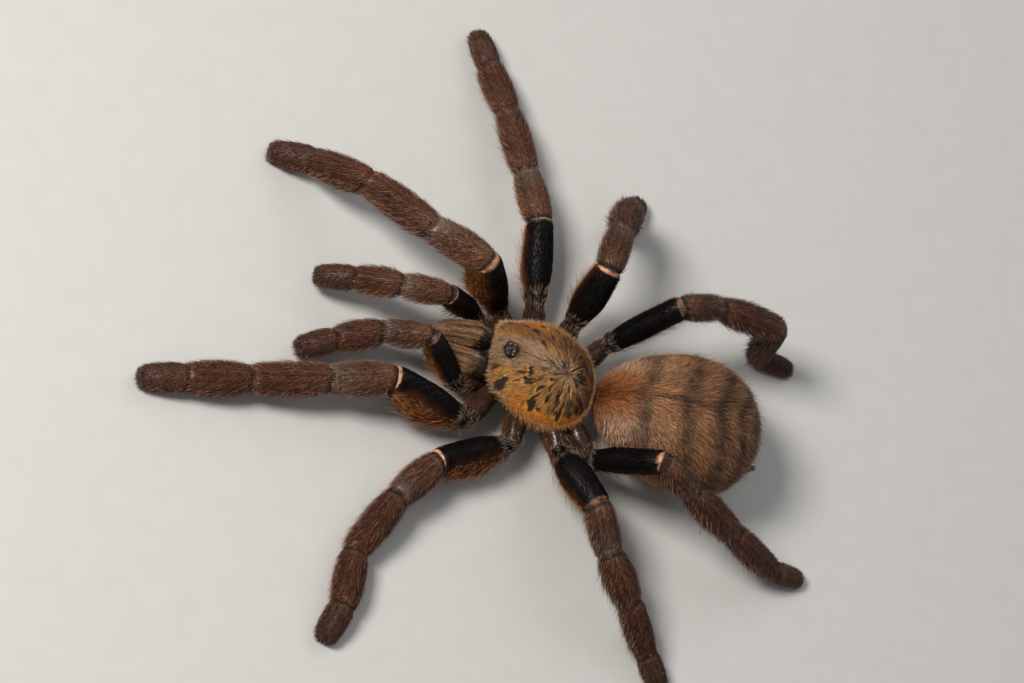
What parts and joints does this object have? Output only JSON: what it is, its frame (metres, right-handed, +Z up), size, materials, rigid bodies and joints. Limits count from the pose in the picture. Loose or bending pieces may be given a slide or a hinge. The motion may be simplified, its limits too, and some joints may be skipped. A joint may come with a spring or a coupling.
{
  "type": "tarantula",
  "caption": "Life-size still model of a tarantula walking, with a hairy brown coat, black thighs, a golden shield and a banded abdomen.",
  "frame": {"origin": "middle of the whole outline seen from above, at floor level", "axes": "+X the way the head points, +Y the animal's left, +Z up"},
  "size_m": [0.1298, 0.1214, 0.0234],
  "materials": {
    "femur_coat": "short black hair above, longer golden-brown hair below",
    "leg_coat": "dense reddish-brown hair with a grey sheen",
    "abdomen_coat": "soft fawn hair with dark cross bands",
    "shield": "hard plate under flat golden hair with black rays",
    "jaw": "hard plate with flat golden hair and dark stripes",
    "underside": "dark brown, satin, thinly haired",
    "claw": "glossy near-black horn",
    "eye": "glossy dark beads on a low mound"
  },
  "bodies": {
    "root": {"leg1_left_femur": "femur_coat", "leg1_left_patella": "leg_coat", "leg1_left_tibia": "leg_coat", "leg1_left_metatarsus": "leg_coat", "leg1_left_tarsus": "leg_coat", "leg1_right_femur": "femur_coat", "leg1_right_patella": "leg_coat", "leg1_right_tibia": "leg_coat", "leg1_right_metatarsus": "leg_coat", "leg1_right_tarsus": "leg_coat", "leg2_left_femur": "femur_coat", "leg2_left_patella": "leg_coat", "leg2_left_tibia": "leg_coat", "leg2_left_metatarsus": "leg_coat", "leg2_left_tarsus": "leg_coat", "leg2_right_femur": "femur_coat", "leg2_right_patella": "leg_coat", "leg2_right_tibia": "leg_coat", "leg2_right_metatarsus": "leg_coat", "leg2_right_tarsus": "leg_coat", "leg3_left_femur": "femur_coat", "leg3_left_patella": "leg_coat", "leg3_left_tibia": "leg_coat", "leg3_left_metatarsus": "leg_coat", "leg3_left_tarsus": "leg_coat", "leg3_right_femur": "femur_coat", "leg3_right_patella": "leg_coat", "leg3_right_tibia": "leg_coat", "leg3_right_metatarsus": "leg_coat", "leg3_right_tarsus": "leg_coat", "leg4_left_femur": "femur_coat", "leg4_left_patella": "leg_coat", "leg4_left_tibia": "leg_coat", "leg4_left_metatarsus": "leg_coat", "leg4_left_tarsus": "leg_coat", "leg4_right_femur": "femur_coat", "leg4_right_patella": "leg_coat", "leg4_right_tibia": "leg_coat", "leg4_right_metatarsus": "leg_coat", "leg4_right_tarsus": "leg_coat", "palp_left_femur": "femur_coat", "palp_left_patella": "leg_coat", "palp_left_tibia": "leg_coat", "palp_left_tarsus": "leg_coat", "palp_right_femur": "femur_coat", "palp_right_patella": "leg_coat", "palp_right_tibia": "leg_coat", "palp_right_tarsus": "leg_coat", "chelicera_left": "jaw", "fang_left": "claw", "spinneret_left": "underside", "chelicera_right": "jaw", "fang_right": "claw", "spinneret_right": "underside", "carapace": "shield", "eye_mound": "eye", "underside": "underside", "pedicel": "underside", "abdomen": "abdomen_coat"}
  },
  "joints": []
}
